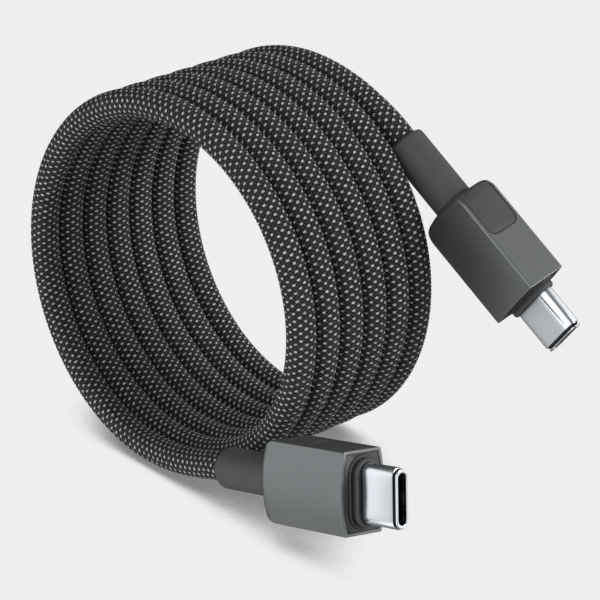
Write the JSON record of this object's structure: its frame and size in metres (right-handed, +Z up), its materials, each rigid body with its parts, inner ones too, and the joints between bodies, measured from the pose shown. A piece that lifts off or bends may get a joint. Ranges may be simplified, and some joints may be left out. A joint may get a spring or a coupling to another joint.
{
  "type": "charging cable",
  "caption": "USB-C charging cable with a braided cord wound into a standing coil, and a metal-cased plug with a sleeve strain relief on each end.",
  "frame": {"origin": "on the ground under the middle of the part's bounding box", "axes": "+X along the coil's axis, from plug a's side to plug b's side; plugs point to -Y; +Z up"},
  "size_m": [0.0445, 0.0797, 0.0562],
  "materials": {
    "braid": "woven yarn, charcoal with light grey flecks",
    "plug_metal": "satin, anodised dark grey",
    "grip_pad": "matte",
    "collar": "satin",
    "bright_shell": "polished, nickel plated",
    "black_insert": "matte",
    "gold_contacts": "gold plated",
    "spring_steel": "plain",
    "dark_steel": "blackened",
    "shield_can": "plain tinplate",
    "card_green": "satin",
    "passives": "plain",
    "wire_red": "plain",
    "wire_white": "plain",
    "inner_mould": "plain",
    "ferrule": "plain",
    "strain_relief": "matte"
  },
  "bodies": {
    "cord": {"coil": "braid", "lead_a": "braid", "lead_b": "braid"},
    "plug_a": {"housing_a": "plug_metal", "grip_pad_upper_a": "grip_pad", "grip_pad_lower_a": "grip_pad", "nose_a": "collar", "connector_shell_a": "bright_shell", "insulator_a": "black_insert", "contacts_upper_a": "gold_contacts", "contacts_lower_a": "gold_contacts", "ground_springs_a": "dark_steel", "latch_upper_a": "spring_steel", "latch_lower_a": "spring_steel", "shield_can_left_a": "shield_can", "shield_can_right_a": "shield_can", "card_a": "card_green", "marker_chip_a": "black_insert", "passives_a": "passives", "power_wires_a": "wire_red", "signal_wires_a": "wire_white", "inner_mould_a": "inner_mould", "ferrule_a": "ferrule", "cable_end_a": "braid", "strain_relief_a": "strain_relief"},
    "plug_b": {"housing_b": "plug_metal", "grip_pad_upper_b": "grip_pad", "grip_pad_lower_b": "grip_pad", "nose_b": "collar", "connector_shell_b": "bright_shell", "insulator_b": "black_insert", "contacts_upper_b": "gold_contacts", "contacts_lower_b": "gold_contacts", "ground_springs_b": "dark_steel", "latch_upper_b": "spring_steel", "latch_lower_b": "spring_steel", "shield_can_left_b": "shield_can", "shield_can_right_b": "shield_can", "card_b": "card_green", "marker_chip_b": "black_insert", "passives_b": "passives", "power_wires_b": "wire_red", "signal_wires_b": "wire_white", "inner_mould_b": "inner_mould", "ferrule_b": "ferrule", "cable_end_b": "braid", "strain_relief_b": "strain_relief"}
  },
  "joints": [
    {"name": "plug_a_flex", "type": "hinge", "parent": "cord", "child": "plug_a", "pos_m": [-0.01714, -0.00968, 0.00718], "axis": [0.199, 0.2307, 0.9525], "range_deg": [-20, 20], "stiffness_Nm_per_rad": 0.1, "deforming": ["strain_relief_a", "cable_end_a"]},
    {"name": "plug_b_flex", "type": "hinge", "parent": "cord", "child": "plug_b", "pos_m": [0.01502, -0.0112, 0.0434], "axis": [-0.1642, -0.6564, 0.7364], "range_deg": [-10, 25], "stiffness_Nm_per_rad": 0.1, "deforming": ["strain_relief_b", "cable_end_b"]}
  ]
}
